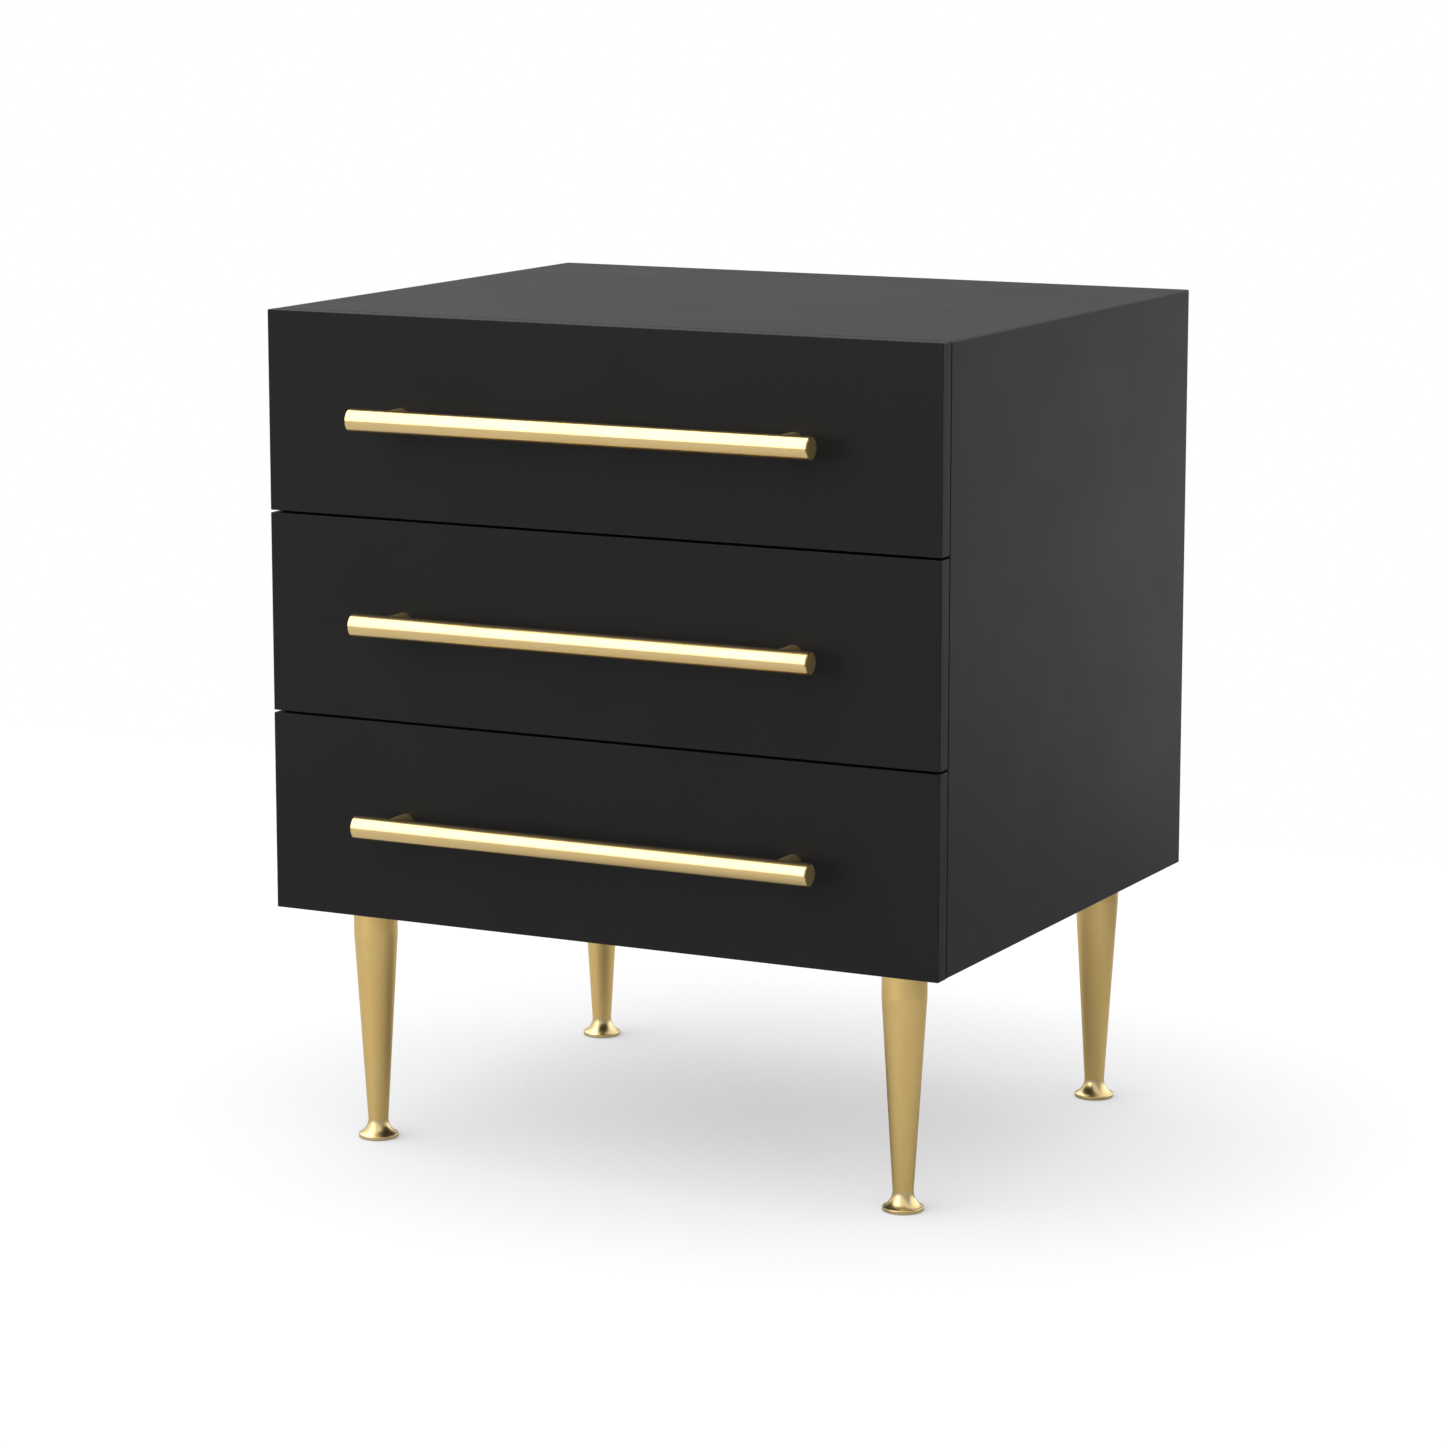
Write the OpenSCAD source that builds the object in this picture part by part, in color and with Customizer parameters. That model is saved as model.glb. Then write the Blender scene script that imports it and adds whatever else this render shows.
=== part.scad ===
// Nightstand: a mitred lacquered case on four turned brass legs, with three drawers
// on three-member ball-bearing runners. X points right, Y to the back and Z up.
// The origin is on the floor, in the middle of the whole object's box.

/* [Case] */
// Width of the case and of the drawer fronts
case_w = 610; // [560:5:700]
// Depth from the drawer faces to the back of the case
overall_d = 511; // [505:1:600]
// Height of the case, without the legs
case_h = 503; // [495:1:600]
// Thickness of the case panels and of the rails between the drawers
panel_t = 18; // [17:0.5:20]
// Rounding of the four long outer corners
corner_r = 1.5; // [1:0.5:3]
// Thickness of the back panel
back_t = 6; // [4:0.5:8]

/* [Drawers] */
// Thickness of the drawer fronts
front_t = 15; // [14:0.5:20]
// Gap between neighbouring drawer fronts
front_gap = 2; // [2:0.5:5]
// Gap that the bumpers keep between the fronts and the case
bumper_gap = 1; // [1:0.5:3]
// Height of the drawer boxes
box_h = 115; // [100:1:120]
// Length of the drawer boxes, front to back
box_d = 460; // [455:1:470]
// Thickness of the drawer box walls
wall_t = 15; // [15:0.5:18]
// Thickness of the drawer bottoms
bottom_t = 6; // [4:0.5:8]

/* [Runners] */
// Length of each runner member
runner_len = 450; // [400:10:450]
// Height of the runner member on the case
runner_h = 45; // [44:1:50]
// Thickness of the runner's pressed steel
steel_t = 1.2; // [1:0.1:1.4]

/* [Handles] */
// Diameter of the handle bars
bar_d = 19; // [17:0.5:24]
// Length of the handle bars
bar_len = 416; // [390:1:480]
// Distance from the drawer face to the axis of the bar
bar_reach = 31; // [26:1:45]
// Diameter of the handle posts
post_d = 16; // [12:0.5:16]
// Distance between the two posts of a handle
post_pitch = 356; // [256:1:372]

/* [Legs] */
// Height of the case above the floor
leg_h = 208; // [150:1:260]
// Diameter of the leg where it meets the case
leg_top_d = 37; // [30:0.5:40]
// Length of the straight part at the top of the leg
leg_straight = 30; // [20:1:60]
// Diameter of the neck between the leg and its foot
neck_d = 17.2; // [15:0.2:19]
// Diameter of the flared foot
foot_d = 34; // [31:0.5:38]
// Distance from the sides of the case to the leg axes
leg_inset_x = 58; // [45:1:90]
// Distance from the front and back edges of the case panels to the leg axes
leg_inset_y = 47; // [45:1:90]

/* [Hidden] */
$fn = 48;

// The three drawers, counted from the bottom
LOWER = 0;
MIDDLE = 1;
UPPER = 2;
LEFT = -1;
RIGHT = 1;
FRONT = -1;
BACK = 1;
LOW = -1;
HIGH = 1;

lacquer = "#2b2b2b";
lining = "#3a3733";
satin_brass = "#c2a76a";
polished_brass = "#d8bd78";
zinc = "#b9bcc0";
steel = "#a6a9ad";
beech = "#cdb48a";
felt = "#4a4640";
clear_rubber = "#d9dad6";

// Depth positions, from the drawer faces to the back
handle_reach = bar_reach + bar_d / 2;
face_y = (handle_reach - overall_d) / 2;
front_back_y = face_y + front_t;
case_y = front_back_y + bumper_gap;
back_y = face_y + overall_d;
case_d = back_y - case_y;

// Height positions
case_top = leg_h + case_h;
front_h = (case_h - 2 * front_gap) / 3;
inner_w = case_w - 2 * panel_t;
inner_h = case_h - 2 * panel_t;

// Small chamfer that takes the sharpness off the front and back edges of the case
ease = 0.6;
ease_bar = ease * sqrt(2);

// Back panel, seated in a rebate
rebate = 9;
back_clear = 0.5;

// Dowels in the mitred corners and at the ends of the rails
dowel_d = 6;
dowel_len = 16;
dowel_spare = 1;
rail_dowel_y = [0.25, 0.75];
dowels_per_corner = 5;
rail_d = 60;

// Screws: pan-head screws everywhere in wood, and smaller ones in the back panel
screw_d = 4;
screw_len = 14;
head_d = 7.6;
head_h = 1.8;
head_taper = 1.4;
recess_w = 3.6;
recess_slot = 0.7;
recess_depth = 0.9;
back_recess_w = 2.8;
back_recess_slot = 0.6;
back_recess_depth = 0.8;
hole_clear = 0.2;
hole_spare = 0.5;
cut_start = 0.1;
back_screw_d = 3;
back_screw_len = 16;
back_screw_spread = [-0.8, -0.27, 0.27, 0.8];

// Leg plates, feet and pads
plate_w = 60;
plate_t = 3;
plate_hole = 22;
stud_d = 10;
stud_len = 12;
spigot_d = 8;
spigot_len = 16;
pad_d = 28;
pad_h = 3;
pad_show = 0.5;
rim_h = 3.4;
rim_ease = 0.8;
flare_r = 14;
collar_h = 0.6;
neck_r = neck_d / 2;
foot_r = foot_d / 2;
rim_r = foot_r - rim_ease;
rim_top = pad_show + rim_h;
flare_angle = acos(1 - (rim_r - neck_r) / flare_r);
flare_z = rim_top + flare_r * sin(flare_angle);
foot_top = flare_z + collar_h;
leg_x = case_w / 2 - leg_inset_x;

// Runner sections: each member is a channel of pressed steel inside the one before
runner_w = 12.7;
runner_setback = 2;
runner_y = case_y + runner_setback;
mid_h = runner_h - 6;
mid_near = 3.2;
mid_far = 10.6;
slim_h = runner_h - 14;
slim_near = 6;
case_lip = 9;
runner_screw_end = 40;
runner_screw_y = [runner_screw_end, runner_len / 2, runner_len - runner_screw_end];

// Drawer boxes hang between the runners
box_w = inner_w - 2 * runner_w;
box_inner_w = box_w - 2 * wall_t;
bottom_lift = 9;
groove = 7;
groove_clear = 0.2;
counterbore = 8;
counterbore_d = 10;
front_screw_inset = 60;
front_screw_x = box_w / 2 - front_screw_inset;
front_screw_z = 35;

// Handles
bar_chamfer = 0.8;
handle_screw_len = 42;
handle_hole_d = 5;
post_bore = 14;

// Height of the middle of the gap above drawer i, where a rail lies
function gap_z(i) = leg_h + (i + 1) * front_h + (i + 0.5) * front_gap;
function front_z(i) = leg_h + i * (front_h + front_gap);
function bar_z(i) = front_z(i) + front_h / 2;
function opening_low(i) = i == LOWER ? leg_h + panel_t : gap_z(i - 1) + panel_t / 2;
function opening_high(i) = i == UPPER ? case_top - panel_t : gap_z(i) - panel_t / 2;
function box_mid(i) = (opening_low(i) + opening_high(i)) / 2;
function box_z(i) = box_mid(i) - box_h / 2;
function leg_y(end) = end == FRONT ? case_y + leg_inset_y : back_y - leg_inset_y;

// Extrudes an outline drawn in X and Z from the depth y0 to y1
module along_y(y0, y1) {
    translate([0, y1, 0])
        rotate([90, 0, 0])
            linear_extrude(y1 - y0)
                children();
}

// Turns something built along +Z so that it points along +X or -X
module pointing_x(side) {
    rotate([0, side * 90, 0])
        children();
}

// Turns something built along +Z so that it points to the front, along -Y
module pointing_front() {
    rotate([90, 0, 0])
        children();
}

// A rectangle with round corners, centred on X and standing on Y = 0
module round_rect(w, h, r) {
    translate([r - w / 2, 0]) square([w - 2 * r, h]);
    translate([-w / 2, r]) square([w, h - 2 * r]);
    for (side = [LEFT, RIGHT], y = [r, h - r])
        translate([side * (w / 2 - r), y]) circle(r);
}

// ---------- Fasteners ----------

// Cross recess cut into a screw head from Z = 0 upwards
module cross_recess(w, slot, depth) {
    for (turn = [0, 90])
        rotate(turn) translate([-w / 2, -slot / 2, -1]) cube([w, slot, depth + 1]);
}

// Screw with a head of diameter top_d at its outer face, its seat at Z = 0 and its shank along +Z
module headed_screw(top_d, len) {
    difference() {
        union() {
            cylinder(d = screw_d, h = len);
            translate([0, 0, -head_h]) cylinder(d1 = top_d, d2 = head_d, h = head_h);
        }
        translate([0, 0, -head_h]) cross_recess(recess_w, recess_slot, recess_depth);
    }
}

module pan_screw() {
    headed_screw(head_d - head_taper, screw_len);
}

// Hole for the shank of a pan-head screw
module pilot_hole() {
    translate([0, 0, -1]) cylinder(d = screw_d + hole_clear, h = screw_len + 1 + hole_spare);
}

// Where the screws of the case go: four in each leg plate and three in each case runner
module at_case_screws() {
    for (side = [LEFT, RIGHT]) {
        for (end = [FRONT, BACK], dx = [-plate_hole, plate_hole], dy = [-plate_hole, plate_hole])
            translate([side * leg_x + dx, leg_y(end) + dy, leg_h - plate_t]) children();
        for (i = [LOWER, MIDDLE, UPPER], y = runner_screw_y)
            translate([side * (inner_w / 2 - steel_t), runner_y + y, box_mid(i)]) pointing_x(side) children();
    }
}

module case_screws() {
    color(zinc) at_case_screws() pan_screw();
}

// Where the screws of one drawer go: four through the inner front and three in each runner
module at_drawer_screws(i) {
    for (side = [LEFT, RIGHT]) {
        for (dz = [-front_screw_z, front_screw_z])
            translate([side * front_screw_x, front_back_y + wall_t - counterbore, box_mid(i) + dz])
                pointing_front() children();
        for (y = runner_screw_y)
            translate([side * (box_w / 2 + steel_t), runner_y + y, box_mid(i)]) pointing_x(-side) children();
    }
}

module drawer_screws(i) {
    color(zinc) at_drawer_screws(i) pan_screw();
}

// Where the screws of the back panel go, along its four edges
module at_back_screws() {
    edge_x = inner_w / 2 + rebate / 2;
    edge_z = inner_h / 2 + rebate / 2;
    mid_z = leg_h + case_h / 2;
    for (side = [LEFT, RIGHT], dz = back_screw_spread)
        translate([side * edge_x, back_y, mid_z + dz * edge_z]) pointing_front() children();
    for (side = [LOW, HIGH], dx = back_screw_spread)
        translate([dx * edge_x, back_y, mid_z + side * edge_z]) pointing_front() children();
}

// Countersunk screw with its head flush at Z = 0 and its shank along +Z
module countersunk_screw() {
    difference() {
        union() {
            cylinder(d1 = 2 * back_screw_d, d2 = back_screw_d, h = back_screw_d / 2);
            cylinder(d = back_screw_d, h = back_screw_len);
        }
        cross_recess(back_recess_w, back_recess_slot, back_recess_depth);
    }
}

module countersunk_hole() {
    shank = back_screw_d + hole_clear;
    translate([0, 0, -cut_start]) cylinder(d1 = 2 * shank, d2 = shank, h = back_screw_d / 2 + cut_start);
    cylinder(d = shank, h = back_screw_len + hole_spare);
}

module back_panel_screws() {
    color(zinc) at_back_screws() countersunk_screw();
}

// Where the wooden dowels go: across each mitre, and into both ends of each rail
module at_dowels() {
    mitre_x = (case_w - panel_t) / 2;
    mitre_z = (case_h - panel_t) / 2;
    pitch = case_d / dowels_per_corner;
    for (side = [LEFT, RIGHT], level = [LOW, HIGH], n = [0:dowels_per_corner - 1])
        translate([side * mitre_x, case_y + (n + 0.5) * pitch, leg_h + case_h / 2 + level * mitre_z])
            rotate([0, -side * level * 45, 0]) children();
    for (side = [LEFT, RIGHT], i = [LOWER, MIDDLE], y = rail_dowel_y)
        translate([side * inner_w / 2, case_y + y * rail_d, gap_z(i)]) rotate([0, 90, 0]) children();
}

module case_dowels() {
    color(beech) at_dowels() cylinder(d = dowel_d, h = dowel_len, center = true);
}

module dowel_holes() {
    at_dowels() cylinder(d = dowel_d + hole_clear, h = dowel_len + dowel_spare, center = true);
}

// ---------- Case ----------

module back_rebate(clear) {
    w = inner_w + 2 * (rebate - clear);
    h = inner_h + 2 * (rebate - clear);
    translate([-w / 2, back_y - back_t, leg_h + (case_h - h) / 2]) cube([w, back_t + (clear > 0 ? 0 : 1), h]);
}

// Cross-section of the upper panel: the case outline between two mitre lines
module upper_section() {
    intersection() {
        round_rect(case_w, case_h, corner_r);
        polygon([
            [-case_w / 2 - 1, case_h + 1], [case_w / 2 + 1, case_h + 1],
            [inner_w / 2, case_h - panel_t], [-inner_w / 2, case_h - panel_t]
        ]);
    }
}

// Cross-section of the right-hand panel, also between two mitre lines
module right_section() {
    intersection() {
        round_rect(case_w, case_h, corner_r);
        polygon([
            [case_w / 2 + 1, case_h + 1], [case_w / 2 + 1, -1],
            [inner_w / 2, panel_t], [inner_w / 2, case_h - panel_t]
        ]);
    }
}

// The upper panel's board, with its outer edges and its inner front edge eased
module upper_board() {
    difference() {
        along_y(case_y, back_y) upper_section();
        for (edge = [[case_y, case_h], [back_y, case_h], [case_y, case_h - panel_t]])
            translate([0, edge[0], edge[1]])
                rotate([45, 0, 0]) cube([case_w + 2, ease_bar, ease_bar], center = true);
    }
}

// The right-hand panel's board, eased in the same way
module right_board() {
    difference() {
        along_y(case_y, back_y) right_section();
        for (edge = [[case_w / 2, case_y], [case_w / 2, back_y], [inner_w / 2, case_y]])
            translate([edge[0], edge[1], case_h / 2])
                rotate(45) cube([ease_bar, ease_bar, case_h + 2], center = true);
    }
}

module top_panel() {
    color(lacquer) difference() {
        translate([0, 0, leg_h]) upper_board();
        back_rebate(0);
        dowel_holes();
        at_back_screws() countersunk_hole();
    }
}

module bottom_panel() {
    color(lacquer) difference() {
        translate([0, 0, leg_h + case_h]) mirror([0, 0, 1]) upper_board();
        back_rebate(0);
        dowel_holes();
        at_back_screws() countersunk_hole();
        at_case_screws() pilot_hole();
        for (side = [LEFT, RIGHT], end = [FRONT, BACK])
            translate([side * leg_x, leg_y(end), leg_h - 1]) cylinder(d = stud_d + 1, h = stud_len);
    }
}

module side_panel(side) {
    color(lacquer) difference() {
        scale([side, 1, 1]) translate([0, 0, leg_h]) right_board();
        back_rebate(0);
        dowel_holes();
        at_back_screws() countersunk_hole();
        at_case_screws() pilot_hole();
    }
}

module back_panel() {
    color(lining) difference() {
        back_rebate(back_clear);
        at_back_screws() countersunk_hole();
    }
}

// Rail above drawer i, with its front edge in line with the case panels
module rail(i) {
    color(lacquer) difference() {
        translate([-inner_w / 2, case_y, gap_z(i) - panel_t / 2]) cube([inner_w, rail_d, panel_t]);
        dowel_holes();
    }
}

// Soft round bumpers on the front edges of the side panels, four behind each drawer front
module front_bumpers() {
    bumper_d = 8;
    free_gap = 0.1;
    edge = 25;
    color(clear_rubber)
        for (side = [LEFT, RIGHT], i = [LOWER, MIDDLE, UPPER], z = [edge, front_h - edge])
            translate([side * (case_w - panel_t) / 2, case_y, front_z(i) + z])
                pointing_front() cylinder(d = bumper_d, h = bumper_gap - free_gap);
}

// ---------- Legs ----------

module at_leg(side, end) {
    translate([side * leg_x, leg_y(end), 0]) children();
}

// Turned leg: a short straight part, a long taper, a stud on top and a socket below
module leg(side, end) {
    top = leg_h - plate_t;
    top_ease = 0.5;
    color(satin_brass) at_leg(side, end) difference() {
        rotate_extrude() polygon([
            [0, foot_top], [neck_r, foot_top],
            [leg_top_d / 2, leg_h - leg_straight], [leg_top_d / 2, top - top_ease],
            [leg_top_d / 2 - top_ease, top], [stud_d / 2, top],
            [stud_d / 2, top + stud_len], [0, top + stud_len]
        ]);
        translate([0, 0, foot_top - 1]) cylinder(d = spigot_d + hole_clear, h = spigot_len + 2);
    }
}

// Flared foot: a rounded rim, one hollow curve up to the neck and a spigot into the leg
module foot(side, end) {
    color(polished_brass) at_leg(side, end) difference() {
        union() {
            rotate_extrude() {
                translate([0, pad_show]) square([rim_r, rim_h]);
                translate([0, pad_show + rim_ease]) square([foot_r, rim_h - 2 * rim_ease]);
                for (z = [pad_show + rim_ease, rim_top - rim_ease]) translate([rim_r, z]) circle(rim_ease);
            }
            rotate_extrude() difference() {
                polygon([
                    [0, rim_top], [rim_r, rim_top], [neck_r + flare_r, flare_z],
                    [neck_r, flare_z], [neck_r, foot_top], [0, foot_top]
                ]);
                translate([neck_r + flare_r, flare_z]) circle(flare_r);
            }
            translate([0, 0, foot_top - 1]) cylinder(d = spigot_d, h = spigot_len + 1);
        }
        cylinder(d = pad_d + 2 * hole_clear, h = pad_h);
    }
}

module foot_pads() {
    color(felt) for (side = [LEFT, RIGHT], end = [FRONT, BACK])
        at_leg(side, end) cylinder(d = pad_d, h = pad_h);
}

module leg_plates() {
    corner = 4;
    color(steel) for (side = [LEFT, RIGHT], end = [FRONT, BACK])
        at_leg(side, end) difference() {
            translate([0, -plate_w / 2, leg_h - plate_t])
                linear_extrude(plate_t) round_rect(plate_w, plate_w, corner);
            translate([0, 0, leg_h - plate_t - 1]) cylinder(d = stud_d + hole_clear, h = plate_t + 2);
            for (dx = [-plate_hole, plate_hole], dy = [-plate_hole, plate_hole])
                translate([dx, dy, leg_h - plate_t - 1]) cylinder(d = screw_d + hole_clear, h = plate_t + 2);
        }
}

// ---------- Runners ----------

// Pressed channel with its web at u0 and its flanges reaching to u1, measured from the
// inside of the case towards the drawer box. A web beyond the flanges turns it round.
module channel(u0, u1, h, i, side) {
    web = u1 > u0 ? u0 : u0 - steel_t;
    reach = abs(u1 - u0);
    flange_x = inner_w / 2 - min(u0, u1) - reach;
    scale([side, 1, 1])
        along_y(runner_y, runner_y + runner_len) {
            translate([inner_w / 2 - web - steel_t, box_mid(i) - h / 2]) square([steel_t, h]);
            for (z = [-h / 2, h / 2 - steel_t])
                translate([flange_x, box_mid(i) + z]) square([reach, steel_t]);
        }
}

module case_runners(i) {
    color(zinc) for (side = [LEFT, RIGHT])
        difference() {
            channel(0, case_lip, runner_h, i, side);
            at_case_screws() pilot_hole();
        }
}

module mid_runners(i) {
    color(steel) for (side = [LEFT, RIGHT])
        channel(mid_near, mid_far, mid_h, i, side);
}

module drawer_runners(i) {
    color(zinc) for (side = [LEFT, RIGHT])
        difference() {
            channel(runner_w, slim_near, slim_h, i, side);
            at_drawer_screws(i) pilot_hole();
        }
}

// ---------- Drawers ----------

module drawer_front(i) {
    color(lacquer) difference() {
        translate([-case_w / 2, face_y, front_z(i)]) cube([case_w, front_t, front_h]);
        at_drawer_screws(i) pilot_hole();
        handle_holes(i);
    }
}

module drawer_inner_front(i) {
    color(lining) difference() {
        translate([-box_inner_w / 2, front_back_y, box_z(i)]) cube([box_inner_w, wall_t, box_h]);
        at_drawer_screws(i) {
            pilot_hole();
            translate([0, 0, -counterbore - 1]) cylinder(d = counterbore_d, h = counterbore + 1);
        }
        handle_holes(i);
        bottom_groove(i, groove_clear);
    }
}

module drawer_side(i, side) {
    color(lining) difference() {
        translate([side * (box_w - wall_t) / 2 - wall_t / 2, front_back_y, box_z(i)])
            cube([wall_t, box_d, box_h]);
        bottom_groove(i, groove_clear);
        at_drawer_screws(i) pilot_hole();
    }
}

module drawer_back(i) {
    color(lining) difference() {
        translate([-box_inner_w / 2, front_back_y + box_d - wall_t, box_z(i)])
            cube([box_inner_w, wall_t, box_h]);
        bottom_groove(i, groove_clear);
    }
}

// The space of the drawer bottom, let into grooves in all four walls
module bottom_groove(i, clear) {
    w = box_inner_w + 2 * groove;
    d = box_d - 2 * wall_t + 2 * groove;
    translate([-w / 2 - clear, front_back_y + wall_t - groove - clear, box_z(i) + bottom_lift - clear])
        cube([w + 2 * clear, d + 2 * clear, bottom_t + 2 * clear]);
}

module drawer_bottom(i) {
    color(lining) bottom_groove(i, 0);
}

// ---------- Handles ----------

module at_posts(i, y) {
    for (side = [LEFT, RIGHT])
        translate([side * post_pitch / 2, y, bar_z(i)]) pointing_front() children();
}

module handle_holes(i) {
    at_posts(i, front_back_y + wall_t + 1)
        cylinder(d = handle_hole_d, h = front_t + wall_t + 2);
}

// Round bar with a small chamfer at both ends, along X
module bar_body(i, d, chamfer) {
    translate([0, face_y - bar_reach, bar_z(i)]) rotate([0, 90, 0]) rotate_extrude() polygon([
        [0, -bar_len / 2], [d / 2 - chamfer, -bar_len / 2], [d / 2, chamfer - bar_len / 2],
        [d / 2, bar_len / 2 - chamfer], [d / 2 - chamfer, bar_len / 2], [0, bar_len / 2]
    ]);
}

module handle_bar(i) {
    color(satin_brass) bar_body(i, bar_d, bar_chamfer);
}

// Posts run from the drawer face and are coped round the back of the bar
module handle_posts(i) {
    color(satin_brass) difference() {
        at_posts(i, face_y) difference() {
            cylinder(d = post_d, h = bar_reach);
            translate([0, 0, -1]) cylinder(d = screw_d + hole_clear, h = post_bore + 1);
        }
        bar_body(i, bar_d, bar_chamfer);
    }
}

// Machine screws from inside the drawer, through both fronts and into the posts
module handle_screws(i) {
    color(zinc) at_posts(i, front_back_y + wall_t) headed_screw(head_d, handle_screw_len);
}

top_panel();
bottom_panel();
side_panel(LEFT);  // left_side_panel
side_panel(RIGHT);  // right_side_panel
back_panel();
rail(MIDDLE);  // upper_rail
rail(LOWER);  // lower_rail
case_dowels();
back_panel_screws();
case_screws();
front_bumpers();
leg(LEFT, FRONT);  // front_left_leg
leg(RIGHT, FRONT);  // front_right_leg
leg(LEFT, BACK);  // back_left_leg
leg(RIGHT, BACK);  // back_right_leg
foot(LEFT, FRONT);  // front_left_foot
foot(RIGHT, FRONT);  // front_right_foot
foot(LEFT, BACK);  // back_left_foot
foot(RIGHT, BACK);  // back_right_foot
foot_pads();
leg_plates();
case_runners(UPPER);  // upper_case_runners
case_runners(MIDDLE);  // middle_case_runners
case_runners(LOWER);  // lower_case_runners
mid_runners(UPPER);  // upper_mid_runners
mid_runners(MIDDLE);  // middle_mid_runners
mid_runners(LOWER);  // lower_mid_runners
drawer_front(UPPER);  // upper_drawer_front
drawer_inner_front(UPPER);  // upper_drawer_inner_front
drawer_side(UPPER, LEFT);  // upper_drawer_left_side
drawer_side(UPPER, RIGHT);  // upper_drawer_right_side
drawer_back(UPPER);  // upper_drawer_back
drawer_bottom(UPPER);  // upper_drawer_bottom
drawer_runners(UPPER);  // upper_drawer_runners
drawer_screws(UPPER);  // upper_drawer_screws
handle_bar(UPPER);  // upper_handle_bar
handle_posts(UPPER);  // upper_handle_posts
handle_screws(UPPER);  // upper_handle_screws
drawer_front(MIDDLE);  // middle_drawer_front
drawer_inner_front(MIDDLE);  // middle_drawer_inner_front
drawer_side(MIDDLE, LEFT);  // middle_drawer_left_side
drawer_side(MIDDLE, RIGHT);  // middle_drawer_right_side
drawer_back(MIDDLE);  // middle_drawer_back
drawer_bottom(MIDDLE);  // middle_drawer_bottom
drawer_runners(MIDDLE);  // middle_drawer_runners
drawer_screws(MIDDLE);  // middle_drawer_screws
handle_bar(MIDDLE);  // middle_handle_bar
handle_posts(MIDDLE);  // middle_handle_posts
handle_screws(MIDDLE);  // middle_handle_screws
drawer_front(LOWER);  // lower_drawer_front
drawer_inner_front(LOWER);  // lower_drawer_inner_front
drawer_side(LOWER, LEFT);  // lower_drawer_left_side
drawer_side(LOWER, RIGHT);  // lower_drawer_right_side
drawer_back(LOWER);  // lower_drawer_back
drawer_bottom(LOWER);  // lower_drawer_bottom
drawer_runners(LOWER);  // lower_drawer_runners
drawer_screws(LOWER);  // lower_drawer_screws
handle_bar(LOWER);  // lower_handle_bar
handle_posts(LOWER);  // lower_handle_posts
handle_screws(LOWER);  // lower_handle_screws
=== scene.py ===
import math

import bmesh
import bpy
import mathutils
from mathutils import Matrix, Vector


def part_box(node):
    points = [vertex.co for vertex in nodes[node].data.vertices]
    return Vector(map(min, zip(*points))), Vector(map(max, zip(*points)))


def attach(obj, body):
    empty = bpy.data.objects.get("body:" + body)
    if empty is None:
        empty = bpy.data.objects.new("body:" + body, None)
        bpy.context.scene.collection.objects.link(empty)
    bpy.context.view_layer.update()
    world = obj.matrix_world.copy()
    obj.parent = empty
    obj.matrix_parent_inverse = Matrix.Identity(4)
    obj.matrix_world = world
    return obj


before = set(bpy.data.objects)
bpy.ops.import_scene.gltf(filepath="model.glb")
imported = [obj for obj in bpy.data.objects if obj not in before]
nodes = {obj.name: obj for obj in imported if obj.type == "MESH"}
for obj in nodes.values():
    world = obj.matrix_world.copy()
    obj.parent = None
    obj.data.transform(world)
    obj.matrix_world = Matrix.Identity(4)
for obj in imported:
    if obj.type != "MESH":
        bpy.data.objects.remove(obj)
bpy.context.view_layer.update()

DRAWERS = ("upper", "middle", "lower")
MICRON = 0.000001
# Spans of a pattern's values over which colour or roughness goes from one end to the other
NOISE_SPAN = (0.3, 0.7)
NARROW_SPAN = (0.35, 0.65)
FIGURE_SPAN = (0.36, 0.62)


# ---------- Node helpers ----------

def connect(tree, source, target):
    """Connects a socket, or sets a plain number or colour."""
    if isinstance(source, bpy.types.NodeSocket):
        tree.links.new(source, target)
    else:
        target.default_value = source


def calculated(tree, how, a, b):
    """One step of arithmetic. A step that needs one number ignores b."""
    node = tree.nodes.new("ShaderNodeMath")
    node.operation = how
    connect(tree, a, node.inputs[0])
    connect(tree, b, node.inputs[1])
    return node.outputs[0]


def stretched(tree, value, low, high, out_low, out_high, easing="LINEAR"):
    """Moves a value from the range low to high into out_low to out_high, and keeps it there."""
    node = tree.nodes.new("ShaderNodeMapRange")
    node.interpolation_type = easing
    connect(tree, value, node.inputs["Value"])
    ends = {"From Min": low, "From Max": high, "To Min": out_low, "To Max": out_high}
    for socket, number in ends.items():
        node.inputs[socket].default_value = number
    return node.outputs["Result"]


def along(tree, place, direction):
    """How far a place lies along a direction."""
    node = tree.nodes.new("ShaderNodeVectorMath")
    node.operation = "DOT_PRODUCT"
    node.inputs[1].default_value = direction
    tree.links.new(place, node.inputs[0])
    return node.outputs["Value"]


def either(tree, factor, first, second):
    """The first shader where the factor is 0, and the second where it is 1."""
    node = tree.nodes.new("ShaderNodeMixShader")
    for source, target in zip((factor, first, second), node.inputs):
        tree.links.new(source, target)
    return node.outputs[0]


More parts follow.
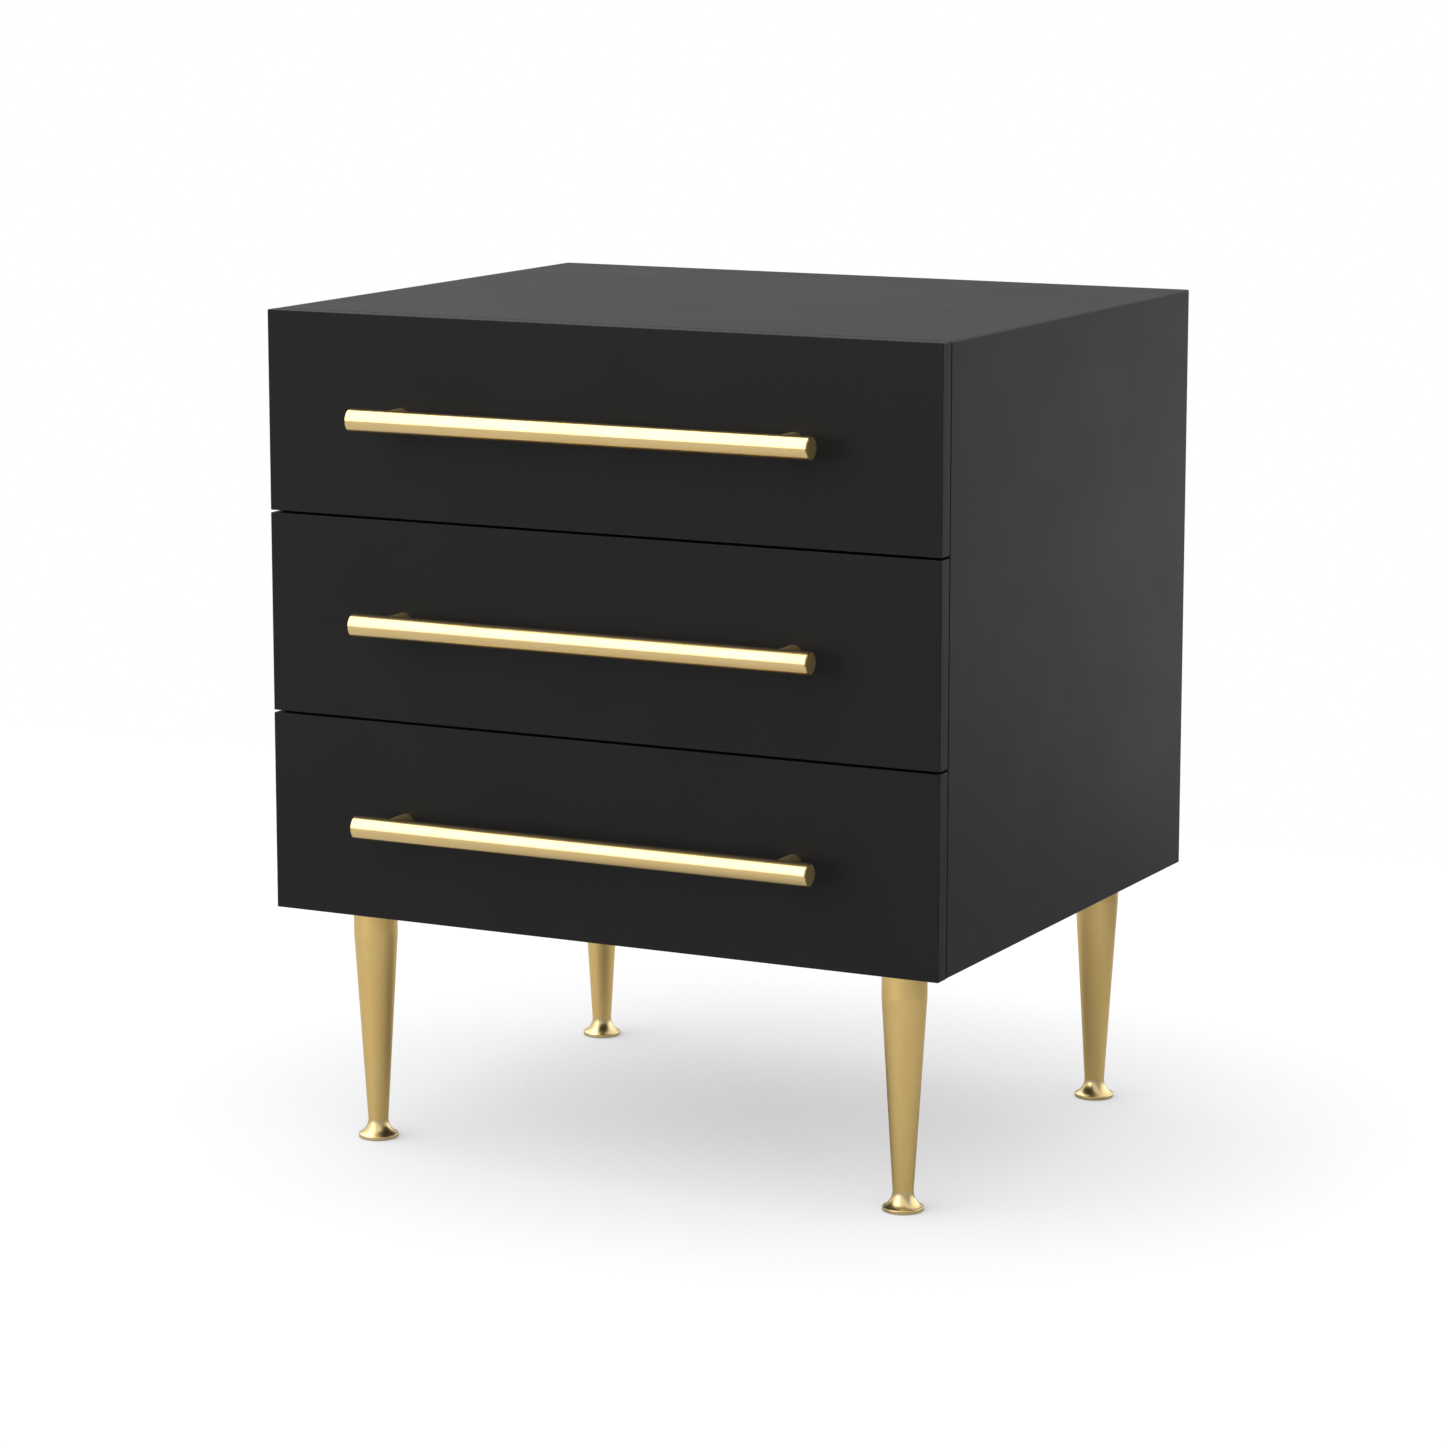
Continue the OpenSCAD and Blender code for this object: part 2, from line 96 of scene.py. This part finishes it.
class Finish:
    """A material with one shader, whose patterns come from the object's own coordinates."""

    def __init__(self, name):
        self.material = bpy.data.materials.new(name)
        self.material.use_nodes = True
        self.tree = self.material.node_tree
        self.tree.nodes.clear()
        self.shader = self.tree.nodes.new("ShaderNodeBsdfPrincipled")
        output = self.tree.nodes.new("ShaderNodeOutputMaterial")
        self.tree.links.new(self.shader.outputs["BSDF"], output.inputs["Surface"])
        self.place = self.tree.nodes.new("ShaderNodeTexCoord")

    def set(self, **values):
        """Values that are the same all over the surface."""
        for socket, value in values.items():
            label = socket.replace("_", " ").title().replace("Ior", "IOR")
            self.shader.inputs[label].default_value = value
        return self

    def mapped(self, scale):
        """Object coordinates, stretched along the axes."""
        node = self.tree.nodes.new("ShaderNodeMapping")
        node.inputs["Scale"].default_value = scale
        self.tree.links.new(self.place.outputs["Object"], node.inputs["Vector"])
        return node.outputs["Vector"]

    def noise(self, vector, scale, detail=3, rough=0.5, warp=0):
        """A noise pattern over some coordinates."""
        node = self.tree.nodes.new("ShaderNodeTexNoise")
        node.inputs["Scale"].default_value = scale
        node.inputs["Detail"].default_value = detail
        node.inputs["Roughness"].default_value = rough
        node.inputs["Distortion"].default_value = warp
        self.tree.links.new(vector, node.inputs["Vector"])
        return node.outputs["Fac"]

    def even(self, scale, detail=3, rough=0.5, warp=0):
        """Noise that is the same size along every axis."""
        return self.noise(self.mapped((1, 1, 1)), scale, detail, rough, warp)

    def part(self, kind, axis):
        """One component of a texture coordinate."""
        node = self.tree.nodes.new("ShaderNodeSeparateXYZ")
        self.tree.links.new(self.place.outputs[kind], node.inputs[0])
        return node.outputs[axis]

    def facing(self, axis, low, high):
        """0 on faces that look away from an axis, and 1 on faces that look along it."""
        return self.spread(self.maths("ABSOLUTE", self.part("Normal", axis), 0), (low, high), 0, 1)

    def joined(self, *parts):
        """A vector made of three numbers."""
        node = self.tree.nodes.new("ShaderNodeCombineXYZ")
        for value, target in zip(parts, node.inputs):
            connect(self.tree, value, target)
        return node.outputs[0]

    def mixed(self, factor, a, b):
        """A number between a and b."""
        node = self.tree.nodes.new("ShaderNodeMix")
        for value, target in zip((factor, a, b), (node.inputs[0], node.inputs[2], node.inputs[3])):
            connect(self.tree, value, target)
        return node.outputs[0]

    def spread(self, value, span, out_low, out_high):
        """Stretches a span of values over another range, and clamps it."""
        return stretched(self.tree, value, *span, out_low, out_high)

    def maths(self, how, a, b):
        """One step of arithmetic."""
        return calculated(self.tree, how, a, b)

    def blend(self, a, b, share):
        """A share of pattern a, and pattern b for the rest."""
        return self.maths("ADD", self.maths("MULTIPLY", a, share), self.maths("MULTIPLY", b, 1 - share))

    def colour(self, factor, a, b):
        """A colour between a and b."""
        node = self.tree.nodes.new("ShaderNodeMix")
        node.data_type = "RGBA"
        connect(self.tree, factor, node.inputs[0])
        for value, target in ((a, node.inputs[6]), (b, node.inputs[7])):
            connect(self.tree, value if isinstance(value, bpy.types.NodeSocket) else (*value, 1), target)
        return node.outputs[2]

    def base(self, socket):
        """Takes a colour socket as the surface's colour."""
        self.tree.links.new(socket, self.shader.inputs["Base Color"])

    def rough(self, socket):
        """Takes a number socket as the surface's roughness."""
        self.tree.links.new(socket, self.shader.inputs["Roughness"])

    def tint(self, tone, first, last, span=NOISE_SPAN):
        """Colours the surface from first to last over a span of the tone."""
        self.base(self.colour(self.spread(tone, span, 0, 1), first, last))

    def gloss(self, tone, first, last, span=NOISE_SPAN):
        """Takes the roughness from first to last over a span of the tone."""
        self.rough(self.spread(tone, span, first, last))

    def bump(self, height, microns):
        """Bumps that deep for a height from 0 to 1."""
        node = self.tree.nodes.new("ShaderNodeBump")
        node.inputs["Strength"].default_value = 1
        node.inputs["Distance"].default_value = microns * MICRON
        self.tree.links.new(height, node.inputs["Height"])
        self.tree.links.new(node.outputs["Normal"], self.shader.inputs["Normal"])
        return self


# ---------- Materials ----------

def black_lacquer():
    """Satin lacquer: a faint cloud, fine specks and a soft orange peel."""
    f = Finish("black_lacquer_satin")
    cloud = f.even(9, 4, 0.55)
    speck = f.even(900, 2, 0.6)
    peel = f.even(420, 2, 0.45)
    tone = f.blend(cloud, speck, 0.6)
    f.tint(tone, (0.0070, 0.0070, 0.0071), (0.0100, 0.0100, 0.0102))
    f.gloss(tone, 0.40, 0.50)
    f.bump(f.maths("ADD", peel, f.maths("MULTIPLY", speck, 0.3)), 10)
    return f.set(specular_ior_level=0.17).material


def painted_board():
    """Thin black painted fibreboard: short fibres show through the paint."""
    f = Finish("painted_board_black")
    fibre = f.noise(f.mapped((90, 500, 260)), 1, 4, 0.6, 0.8)
    cloud = f.even(14, 3, 0.5)
    f.tint(f.blend(cloud, fibre, 0.5), (0.009, 0.009, 0.009), (0.019, 0.0185, 0.018))
    f.gloss(fibre, 0.52, 0.68)
    f.bump(fibre, 40)
    return f.set(specular_ior_level=0.35).material


def plywood(name, thick, grain_axis, plies):
    """Clear-coated birch plywood, thin along one axis, with its face grain along another."""
    f = Finish(name)
    broad = [34, 34, 34]
    fine = [800, 800, 800]
    broad[grain_axis] = 2.2
    fine[grain_axis] = 22
    figure = f.noise(f.mapped(broad), 1, 4, 0.5, 1.4)
    pores = f.noise(f.mapped(fine), 1, 3, 0.6)
    face_tone = f.blend(figure, pores, 0.6)
    face = f.colour(f.spread(face_tone, FIGURE_SPAN, 0, 1), (0.55, 0.385, 0.215), (0.71, 0.55, 0.345))
    layer = f.maths("SINE", f.maths("MULTIPLY", f.part("Generated", thick), math.pi * plies), 0)
    grain = f.noise(f.mapped((420, 420, 420)), 1, 3, 0.6)
    light = f.colour(grain, (0.55, 0.40, 0.235), (0.72, 0.57, 0.37))
    dark = f.colour(grain, (0.25, 0.16, 0.085), (0.42, 0.29, 0.165))
    edge = f.colour(f.spread(layer, (-0.15, 0.15), 0, 1), dark, light)
    f.base(f.colour(f.facing(thick, 0.5, 0.7), edge, face))
    f.gloss(face_tone, 0.50, 0.38, FIGURE_SPAN)
    f.bump(f.maths("ADD", pores, f.maths("MULTIPLY", layer, 0.1)), 20)
    return f.set(specular_ior_level=0.4).material


def plain_beech():
    """Beech turned into dowels, with its short darker flecks."""
    f = Finish("plain_beech")
    grain = f.noise(f.mapped((500, 60, 500)), 1, 3, 0.6)
    fleck = f.even(650, 2, 0.5)
    tone = f.blend(grain, fleck, 0.6)
    f.tint(tone, (0.42, 0.265, 0.14), (0.62, 0.44, 0.27), NARROW_SPAN)
    f.gloss(tone, 0.75, 0.6)
    return f.bump(grain, 50).material


def plated(name, pale, deep, low, high, streak_axis):
    """Zinc-plated steel: rolled or turned streaks along one axis over a dull cloud."""
    f = Finish(name)
    stretch = [1300, 1300, 1300]
    stretch[streak_axis] = 26
    streak = f.noise(f.mapped(stretch), 1, 3, 0.6)
    cloud = f.even(60, 4, 0.6)
    tone = f.blend(cloud, streak, 0.55)
    f.tint(tone, deep, pale, NARROW_SPAN)
    f.gloss(tone, high, low, NARROW_SPAN)
    return f.bump(streak, 1.5).set(metallic=1).material


def pressed_felt():
    """Dark pressed felt, all short tangled fibres."""
    f = Finish("pressed_felt")
    fibre = f.even(1500, 4, 0.7, 2.5)
    cloud = f.even(220, 3, 0.5)
    tone = f.blend(cloud, fibre, 0.4)
    f.tint(tone, (0.022, 0.021, 0.020), (0.085, 0.081, 0.076))
    f.gloss(fibre, 0.88, 1.0)
    return f.bump(tone, 200).set(sheen_weight=0.4, specular_ior_level=0.2).material


def soft_bumper():
    """Soft clear polyurethane, slightly milky, with a dusty skin."""
    f = Finish("soft_bumper")
    haze = f.even(300, 3, 0.6)
    f.tint(haze, (0.60, 0.60, 0.57), (0.80, 0.80, 0.78))
    f.gloss(haze, 0.18, 0.34)
    return f.bump(haze, 10).set(transmission_weight=0.55).material


def turned_lines(f, axis):
    """Fine lines cut across an axis, and a soft cloud to vary the metal."""
    stretch = [30, 30, 30]
    stretch[axis] = 2600
    return f.noise(f.mapped(stretch), 1, 3, 0.6), f.even(35, 3, 0.5)


def turned_brass(name, pale, deep, low, high, axis):
    """Brass with fine turned lines round an axis."""
    f = Finish(name)
    lines, cloud = turned_lines(f, axis)
    f.tint(cloud, pale, deep)
    f.gloss(f.blend(lines, cloud, 0.5), low, high)
    return f.bump(lines, 2).set(metallic=1).material


def pull_brass():
    """The bars: fine lines round the bar, and duller rings on its faced ends."""
    f = Finish("pull_brass")
    lines, cloud = turned_lines(f, 0)
    y = f.maths("SUBTRACT", f.part("Generated", 1), 0.5)
    z = f.maths("SUBTRACT", f.part("Generated", 2), 0.5)
    square = f.maths("ADD", f.maths("MULTIPLY", y, y), f.maths("MULTIPLY", z, z))
    radius = f.maths("SQRT", square, 0)
    rings = f.noise(f.joined(f.maths("MULTIPLY", radius, 60), 0, 0), 1, 3, 0.6)
    end = f.facing(0, 0.8, 0.95)
    round_face = f.spread(f.blend(lines, cloud, 0.5), NOISE_SPAN, 0.20, 0.27)
    end_face = f.spread(rings, NOISE_SPAN, 0.46, 0.54)
    f.tint(cloud, (0.93, 0.70, 0.335), (0.90, 0.66, 0.30))
    f.rough(f.mixed(end, round_face, end_face))
    f.bump(f.mixed(end, lines, f.maths("MULTIPLY", rings, 4)), 2)
    return f.set(metallic=1).material


FINISHES = {
    "lacquer": black_lacquer(),
    "board": painted_board(),
    "ply_side": plywood("birch_ply_sides", 0, 1, 11),
    "ply_end": plywood("birch_ply_ends", 1, 0, 11),
    "ply_bottom": plywood("birch_ply_bottoms", 2, 0, 5),
    "beech": plain_beech(),
    "screw": plated("zinc_screws", (0.66, 0.67, 0.70), (0.50, 0.51, 0.54), 0.22, 0.36, 2),
    "runner": plated("zinc_runners", (0.60, 0.61, 0.63), (0.46, 0.47, 0.49), 0.24, 0.38, 1),
    "cage": plated("steel_cages", (0.50, 0.50, 0.51), (0.36, 0.36, 0.37), 0.26, 0.42, 1),
    "ball": plated("steel_balls", (0.62, 0.62, 0.63), (0.54, 0.54, 0.55), 0.08, 0.14, 0),
    "plate": plated("steel_plates", (0.46, 0.46, 0.48), (0.33, 0.33, 0.35), 0.32, 0.48, 0),
    "felt": pressed_felt(),
    "bumper": soft_bumper(),
    "bar": pull_brass(),
    "post": turned_brass("post_brass", (0.90, 0.68, 0.34), (0.82, 0.60, 0.28), 0.38, 0.46, 1),
    "leg": turned_brass("leg_brass", (0.93, 0.67, 0.265), (0.89, 0.625, 0.235), 0.28, 0.36, 2),
    "foot": turned_brass("foot_brass", (0.83, 0.655, 0.34), (0.79, 0.61, 0.30), 0.27, 0.34, 2),
}

# The finish of a CAD node goes by the end of its name, and the first that fits is taken
NODE_FINISHES = (
    ("inner_front", "ply_end"), ("drawer_back", "ply_end"), ("drawer_bottom", "ply_bottom"),
    ("drawer_left_side", "ply_side"), ("drawer_right_side", "ply_side"),
    ("case_dowels", "beech"), ("back_panel", "board"), ("screws", "screw"), ("runners", "runner"),
    ("leg_plates", "plate"), ("foot_pads", "felt"), ("front_bumpers", "bumper"),
    ("handle_bar", "bar"), ("handle_posts", "post"), ("_leg", "leg"), ("_foot", "foot"),
    ("_panel", "lacquer"), ("_rail", "lacquer"), ("drawer_front", "lacquer"),
)
# Plain boards by the end of their names, and how far their sharp edges are rounded over
EASED = {
    "drawer_front": 0.0006, "_rail": 0.0005, "inner_front": 0.0004, "drawer_back": 0.0004,
    "left_side": 0.0004, "right_side": 0.0004, "back_panel": 0.0003,
}


def round_over(o, width):
    """Rounds the sharp edges of a board, holes included."""
    weld = o.modifiers.new("weld", "WELD")
    weld.merge_threshold = 0.000005
    flat = o.modifiers.new("flat", "DECIMATE")
    flat.decimate_type = "DISSOLVE"
    flat.angle_limit = math.radians(0.5)
    bevel = o.modifiers.new("bevel", "BEVEL")
    bevel.width = width
    bevel.segments = 2
    bevel.limit_method = "ANGLE"
    bevel.angle_limit = math.radians(40)
    bevel.use_clamp_overlap = False
    normals = o.modifiers.new("normals", "WEIGHTED_NORMAL")
    normals.weight = 100


for name, o in nodes.items():
    finish = next(key for ending, key in NODE_FINISHES if name.endswith(ending))
    o.data.materials.clear()
    o.data.materials.append(FINISHES[finish])
    for ending, width in EASED.items():
        if name.endswith(ending):
            round_over(o, width)


# ---------- Ball cages of the runners ----------

# Thickness of the runners' steel and of the cages' sheet
STEEL = 0.0012
SHEET = 0.0004
# Length of a cage, how far it stays back from the middle member's end, and the balls in one row
CAGE = 0.22
CAGE_INSET = 0.002
CAGE_BALLS = 14
# Room left round a ball
BALL_CLEAR = 0.00005
# How far the rows of balls and the free edges of the cages lie from the case wall
OUTER_BALLS = 0.0062
INNER_BALLS = 0.0084
OUTER_EDGE = 0.0082
INNER_EDGE = 0.0102
# Half the height that the outer cage leaves open in the middle
OUTER_OPEN = 0.014


def profile(bm, points, y0, y1):
    """A closed outline in X and Z, extruded along Y."""
    near = [bm.verts.new((x, y0, z)) for x, z in points]
    far = [bm.verts.new((x, y1, z)) for x, z in points]
    bm.faces.new(near)
    bm.faces.new(reversed(far))
    for k in range(len(points)):
        n = (k + 1) % len(points)
        bm.faces.new((near[n], near[k], far[k], far[n]))


def ball(bm, centre, radius):
    """A smooth ball."""
    made = bmesh.ops.create_icosphere(bm, subdivisions=2, radius=radius)
    bmesh.ops.translate(bm, vec=centre, verts=made["verts"])
    for v in made["verts"]:
        for face in v.link_faces:
            face.smooth = True


def piece(name, bm, finish, body):
    """Makes an added piece that rides on a body."""
    bmesh.ops.recalc_face_normals(bm, faces=bm.faces)
    mesh = bpy.data.meshes.new(name)
    bm.to_mesh(mesh)
    bm.free()
    mesh.materials.append(FINISHES[finish])
    o = bpy.data.objects.new(name, mesh)
    bpy.context.scene.collection.objects.link(o)
    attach(o, body)


def runner_cages(level):
    """Two pairs of ball cages ride on the middle members: the outer pair at their back half,
    inside the case members, and the inner pair at their front half, round the drawer members."""
    case_low, case_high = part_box(level + "_case_runners")
    mid_low, mid_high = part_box(level + "_mid_runners")
    slim_low, slim_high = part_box(level + "_drawer_runners")
    wall = case_high[0]
    middle = (case_low[2] + case_high[2]) / 2
    case_half = (case_high[2] - case_low[2]) / 2 - STEEL
    mid_half = (mid_high[2] - mid_low[2]) / 2
    slim_half = (slim_high[2] - slim_low[2]) / 2
    web = wall - mid_high[0]
    outer = (case_half + mid_half) / 2
    inner = (mid_half - STEEL + slim_half) / 2
    outer_radius = (case_half - mid_half) / 2 - BALL_CLEAR
    inner_radius = (mid_half - STEEL - slim_half) / 2 - BALL_CLEAR
    cages = bmesh.new()
    balls = bmesh.new()
    for side in (-1, 1):
        def placed(u, z):
            """A point at a distance u from the case wall and z above the middle of the runner."""
            return side * (wall - u), middle + z
        for up in (-1, 1):
            lip = outer * up + SHEET / 2 * up
            root = lip - SHEET * up
            flange = (web - SHEET * 3, web - SHEET * 2)
            angle = (
                (flange[0], up * OUTER_OPEN), (flange[1], up * OUTER_OPEN), (flange[1], root),
                (OUTER_EDGE, root), (OUTER_EDGE, lip), (flange[0], lip),
            )
            outline = [placed(*p) for p in angle]
            profile(cages, outline, mid_high[1] - CAGE, mid_high[1] - CAGE_INSET)
            for k in range(CAGE_BALLS):
                step = (k + 0.5) * CAGE / CAGE_BALLS
                x, z = placed(OUTER_BALLS, outer * up)
                ball(balls, (x, mid_high[1] - step, z), outer_radius)
                x, z = placed(INNER_BALLS, inner * up)
                ball(balls, (x, mid_low[1] + step, z), inner_radius)
        back = web + STEEL + SHEET
        tip = inner + SHEET / 2
        channel = (
            (INNER_EDGE, tip), (back, tip), (back, -tip), (INNER_EDGE, -tip), (INNER_EDGE, SHEET - tip),
            (back + SHEET, SHEET - tip), (back + SHEET, tip - SHEET), (INNER_EDGE, tip - SHEET),
        )
        outline = [placed(*p) for p in channel]
        profile(cages, outline, mid_low[1] + CAGE_INSET, mid_low[1] + CAGE)
    piece(level + "_runner_cages", cages, "cage", level + "_runner_middles")
    piece(level + "_runner_balls", balls, "ball", level + "_runner_middles")


for level in DRAWERS:
    runner_cages(level)


# ---------- Stage: floor, light and camera ----------

# Strength of the key light and of the light at the back right
KEY = 2.8
SIDE = 1.3
# How much of the key is left outside its tall band
SPILL = 0.25
# Strength of the room below and above the horizon
BELOW = 0.22
ABOVE = 0.5
# The horizon's soft edge, in heights of a direction
HORIZON = (-0.02, 0.03)
# The floor reaches from FLOOR_NEAR to FLOOR_FAR along X and Y
FLOOR_NEAR = -7.0
FLOOR_FAR = 1.3
# How far the floor's painted shadow looks for things that shut off the sky, and which way it leans to do
# so
SHADE_REACH = 0.4
SHADE_LEAN = (-0.268, -0.358, 0.894)
# How strongly the floor glows to the camera where it is shut off and where it is open: a painted shadow,
# not one cast by the lamps
SHADE_DARK = 0.373
SHADE_OPEN = 1.048


def make_world():
    """The camera sees plain white. Everything else sees a dim room, with a key light up at the
    front left and a softer light at the back right."""
    world = bpy.data.worlds.new("studio")
    world.use_nodes = True
    bpy.context.scene.world = world
    tree = world.node_tree
    tree.nodes.clear()
    output = tree.nodes.new("ShaderNodeOutputWorld")
    path = tree.nodes.new("ShaderNodeLightPath")
    place = tree.nodes.new("ShaderNodeTexCoord")
    white = tree.nodes.new("ShaderNodeBackground")
    white.inputs["Color"].default_value = (1, 1, 1, 1)
    room = tree.nodes.new("ShaderNodeBackground")

    def towards(x, y, z):
        """How closely a direction points towards x, y, z."""
        length = math.hypot(x, y, z)
        return along(tree, place.outputs["Generated"], (x / length, y / length, z / length))

    def faded(value, low, high, out_low, out_high):
        return stretched(tree, value, low, high, out_low, out_high, "SMOOTHSTEP")

    def maths(how, a, b):
        return calculated(tree, how, a, b)

    # The key is a tall soft box up at the front left: a lobe that fades out to both sides
    across = towards(1, 0, 0)
    left_edge = faded(across, -0.85, -0.6, SPILL, 1)
    right_edge = faded(across, -0.28, -0.06, 1, SPILL)
    lobe = faded(towards(-0.5, -0.5, 0.7), 0.1, 0.5, 0, KEY)
    key = maths("MULTIPLY", lobe, maths("MULTIPLY", left_edge, right_edge))
    side = faded(towards(0.55, 0.75, 0.35), 0.6, 0.97, 0, SIDE)
    up = towards(0, 0, 1)
    lights = maths("MULTIPLY", maths("ADD", key, side), faded(up, *HORIZON, 0, 1))
    plain = faded(up, *HORIZON, BELOW, ABOVE)
    tree.links.new(maths("ADD", lights, plain), room.inputs["Strength"])
    seen = either(tree, path.outputs["Is Camera Ray"], room.outputs[0], white.outputs[0])
    tree.links.new(seen, output.inputs["Surface"])


def make_floor():
    """A pale floor. To the camera it glows, white where it is open, with a painted shadow, grey where the
    object shuts off the sky, taken from an occlusion lookup and not cast by the lamps.
    What it sends back into the object is a dimmer, plainer grey. From below it is clear."""
    mesh = bpy.data.meshes.new("floor")
    near, far = FLOOR_NEAR, FLOOR_FAR
    mesh.from_pydata([(near, near, 0), (far, near, 0), (far, far, 0), (near, far, 0)], [], [(0, 1, 2, 3)])
    floor = bpy.data.objects.new("floor", mesh)
    bpy.context.scene.collection.objects.link(floor)
    material = bpy.data.materials.new("pale_floor")
    material.use_nodes = True
    tree = material.node_tree
    tree.nodes.clear()
    output = tree.nodes.new("ShaderNodeOutputMaterial")
    path = tree.nodes.new("ShaderNodeLightPath")
    place = tree.nodes.new("ShaderNodeTexCoord")
    under = tree.nodes.new("ShaderNodeNewGeometry")
    clear = tree.nodes.new("ShaderNodeBsdfTransparent")

    openness = tree.nodes.new("ShaderNodeAmbientOcclusion")
    openness.samples = 8
    openness.inputs["Distance"].default_value = SHADE_REACH
    lean = tree.nodes.new("ShaderNodeCombineXYZ")
    for socket, number in zip(lean.inputs, SHADE_LEAN):
        socket.default_value = number
    tree.links.new(lean.outputs[0], openness.inputs["Normal"])
    # The camera sees the floor as a glow whose strength is a painted shadow, darker where the occlusion
    # lookup finds the object
    painted_shadow_glow = tree.nodes.new("ShaderNodeEmission")
    strength = stretched(tree, openness.outputs["AO"], 0, 1, SHADE_DARK, SHADE_OPEN)
    tree.links.new(strength, painted_shadow_glow.inputs["Strength"])

    # The grey gets darker from the middle of the object towards the far right
    grey = tree.nodes.new("ShaderNodeBsdfDiffuse")
    fade = stretched(tree, along(tree, place.outputs["Object"], (0.8, 0.6, 0)), 0.5, 1.2, 0.48, 0.15)
    tree.links.new(fade, grey.inputs["Color"])

    above = either(tree, path.outputs["Is Camera Ray"], grey.outputs[0], painted_shadow_glow.outputs[0])
    one_sided = either(tree, under.outputs["Backfacing"], above, clear.outputs[0])
    tree.links.new(one_sided, output.inputs["Surface"])
    mesh.materials.append(material)


def make_lamp():
    """A soft box behind the right-hand side, which the side panel and the legs pick up."""
    data = bpy.data.lights.new("soft_box", "AREA")
    data.shape = "RECTANGLE"
    data.size = 0.5
    data.size_y = 0.9
    data.energy = 1.6
    lamp = bpy.data.objects.new("soft_box", data)
    lamp.location = (0.72, 1.6, 0.25)
    aim = mathutils.Vector((0.3, 0.1, 0.4)) - lamp.location
    lamp.rotation_euler = aim.to_track_quat("-Z", "Y").to_euler()
    lamp.visible_camera = False
    bpy.context.scene.collection.objects.link(lamp)


def make_camera():
    """A long lens up at the front right. It looks down by 10.364 degrees and left by 27.001."""
    data = bpy.data.cameras.new("camera")
    data.lens = 118.04
    data.sensor_width = 36
    camera = bpy.data.objects.new("camera", data)
    camera.location = (1.7966, -3.535, 1.0776)
    camera.rotation_euler = (math.radians(90 - 10.364), 0, math.radians(27.001))
    bpy.context.scene.collection.objects.link(camera)
    bpy.context.scene.camera = camera


make_world()
make_floor()
make_lamp()
make_camera()
bpy.context.scene.view_settings.view_transform = "Standard"
